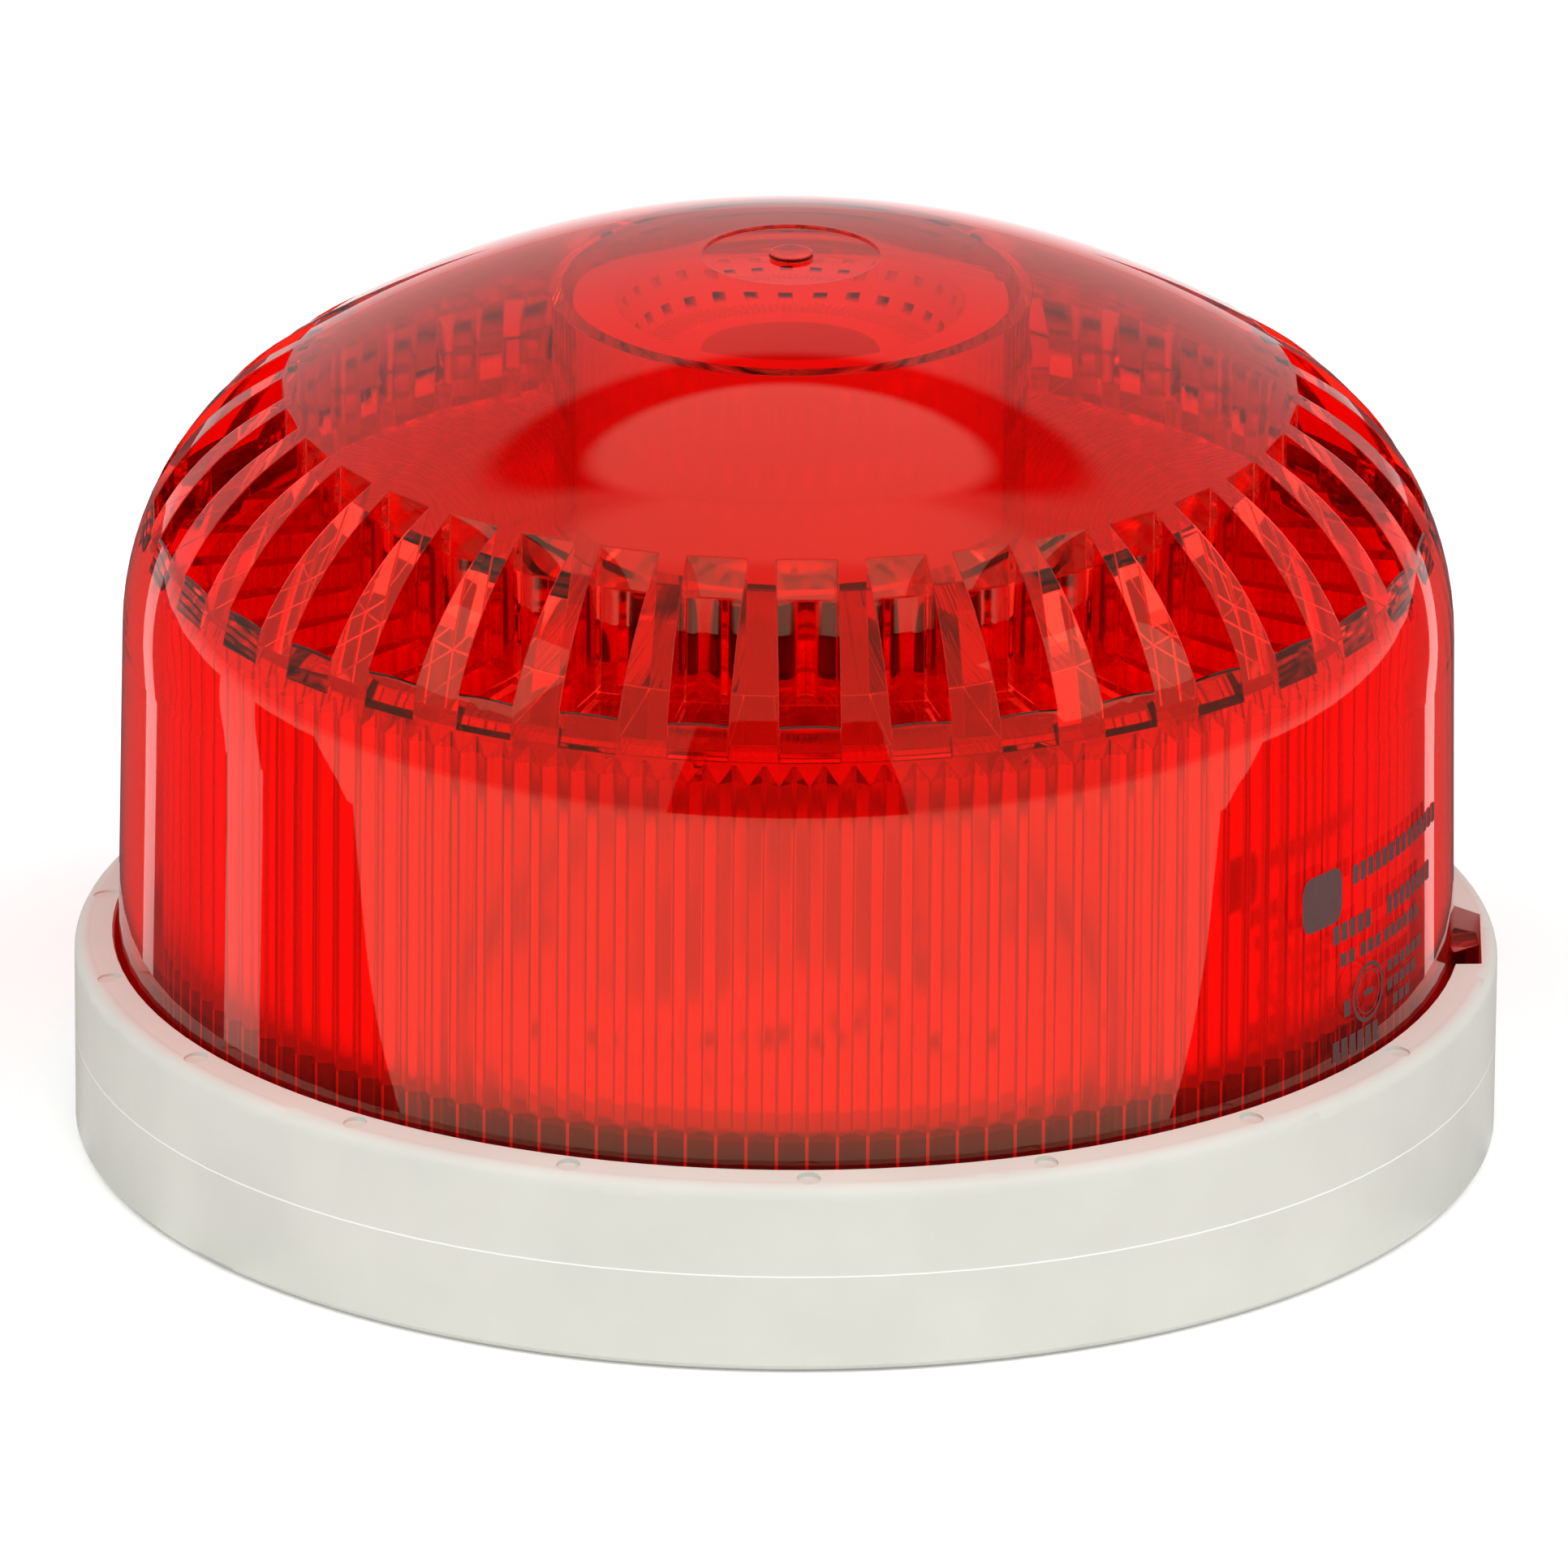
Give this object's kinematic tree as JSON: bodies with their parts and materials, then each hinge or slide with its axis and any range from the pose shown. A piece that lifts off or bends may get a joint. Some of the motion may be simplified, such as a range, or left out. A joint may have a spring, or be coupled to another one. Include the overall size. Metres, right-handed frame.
{
  "type": "horn strobe",
  "caption": "Round wall-mounted horn strobe: off-white base ring and a twist-off head with a red transparent louvred cover over a fluted lens, strobe lights and a piezo horn.",
  "frame": {"origin": "centre of the base's rear face, which lies against the wall", "axes": "+Z away from the wall, out through the middle of the cap; +X towards the release pocket in the rim; the cable entry is on the -Y side"},
  "size_m": [0.108, 0.108, 0.0697],
  "materials": {
    "base_plastic": "fine satin moulded ABS, off-white",
    "red_cover": "clear red polycarbonate, polished",
    "red_lens": "clear red polycarbonate, fluted",
    "dark_plastic": "dark moulded plastic",
    "white_plastic": "white moulded plastic",
    "rubber": "black rubber",
    "silicone": "pale silicone",
    "terminal_green": "moulded terminal housing",
    "brass": "plated brass",
    "plated_steel": "zinc plated",
    "board_white": "white solder mask",
    "led_white": "white package",
    "led_silicone": "clear silicone over phosphor",
    "capacitor_sleeve": "grey sleeve",
    "ferrite": "ferrite",
    "chip_black": "moulded package",
    "ceramic": "silvered ceramic",
    "wire_red": "insulated wire",
    "switch_blue": "moulded switch housing",
    "switch_white": "moulded slider"
  },
  "bodies": {
    "base": {"base_housing": "base_plastic", "rear_gasket": "rubber", "base_seal": "rubber", "cable_grommet": "rubber", "terminal_block": "terminal_green", "terminal_clamps": "brass", "terminal_screws": "plated_steel", "contact_springs": "brass"},
    "head": {"chassis": "dark_plastic", "lens_seal": "rubber", "outer_cover": "red_cover", "inner_lens": "red_lens", "main_board": "board_white", "board_screws": "plated_steel", "contact_pins": "brass", "strobe_leds": "led_white", "led_lenses": "led_silicone", "capacitors": "capacitor_sleeve", "inductor": "ferrite", "driver_chip": "chip_black", "rectifier": "chip_black", "chip_resistors": "chip_black", "sounder_housing": "white_plastic", "piezo_disc": "brass", "piezo_ceramic": "ceramic", "clamp_ring": "white_plastic", "sounder_gasket": "silicone", "horn_flare": "white_plastic", "throat_grille": "dark_plastic", "sounder_leads": "wire_red", "tone_switch_body": "switch_blue", "trimmer_body": "switch_blue"},
    "tone_slider_1": {"tone_slider_1": "switch_white"},
    "tone_slider_2": {"tone_slider_2": "switch_white"},
    "tone_slider_3": {"tone_slider_3": "switch_white"},
    "tone_slider_4": {"tone_slider_4": "switch_white"},
    "tone_slider_5": {"tone_slider_5": "switch_white"},
    "tone_slider_6": {"tone_slider_6": "switch_white"},
    "trimmer_rotor": {"trimmer_rotor": "switch_white"}
  },
  "joints": [
    {"name": "head_twist", "type": "hinge", "parent": "base", "child": "head", "pos_m": [0, 0, 0], "axis": [0, 0, -1], "range_deg": [0, 8]},
    {"name": "tone_slide_1", "type": "slide", "parent": "head", "child": "tone_slider_1", "axis": [0, 1, 0], "range_m": [0, 0.0016]},
    {"name": "tone_slide_2", "type": "slide", "parent": "head", "child": "tone_slider_2", "axis": [0, 1, 0], "range_m": [0, 0.0016]},
    {"name": "tone_slide_3", "type": "slide", "parent": "head", "child": "tone_slider_3", "axis": [0, 1, 0], "range_m": [0, 0.0016]},
    {"name": "tone_slide_4", "type": "slide", "parent": "head", "child": "tone_slider_4", "axis": [0, 1, 0], "range_m": [0, 0.0016]},
    {"name": "tone_slide_5", "type": "slide", "parent": "head", "child": "tone_slider_5", "axis": [0, 1, 0], "range_m": [0, 0.0016]},
    {"name": "tone_slide_6", "type": "slide", "parent": "head", "child": "tone_slider_6", "axis": [0, 1, 0], "range_m": [0, 0.0016]},
    {"name": "volume_turn", "type": "hinge", "parent": "head", "child": "trimmer_rotor", "pos_m": [0.02, -0.022, 0.0128], "axis": [0, 0, -1], "range_deg": [-135, 135]}
  ]
}
